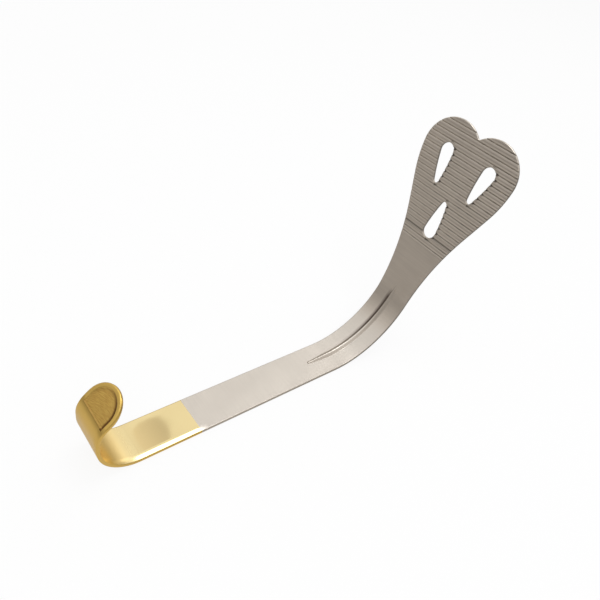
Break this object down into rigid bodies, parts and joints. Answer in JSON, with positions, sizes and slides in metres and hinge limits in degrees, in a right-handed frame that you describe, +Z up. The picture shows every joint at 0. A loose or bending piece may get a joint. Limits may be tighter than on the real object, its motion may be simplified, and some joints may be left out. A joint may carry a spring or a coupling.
{
  "type": "handheld surgical retractor",
  "caption": "Handheld surgical retractor bent from sheet steel: flat strap, toothed heart-shaped blade with drop-shaped holes above a ribbed bend, and a hook with a finger pad.",
  "frame": {"origin": "middle of the strap's flat underside, halfway between its two bends", "axes": "+X along the strap towards the toothed blade, +Z up from the strap's underside towards the blade's tip, +Y across the strap"},
  "size_m": [0.1403, 0.0398, 0.0878],
  "materials": {
    "steel": "satin; the hook end is gold plated from the strap's end to the finger pad"
  },
  "bodies": {
    "root": {"retractor": "steel"}
  },
  "joints": []
}
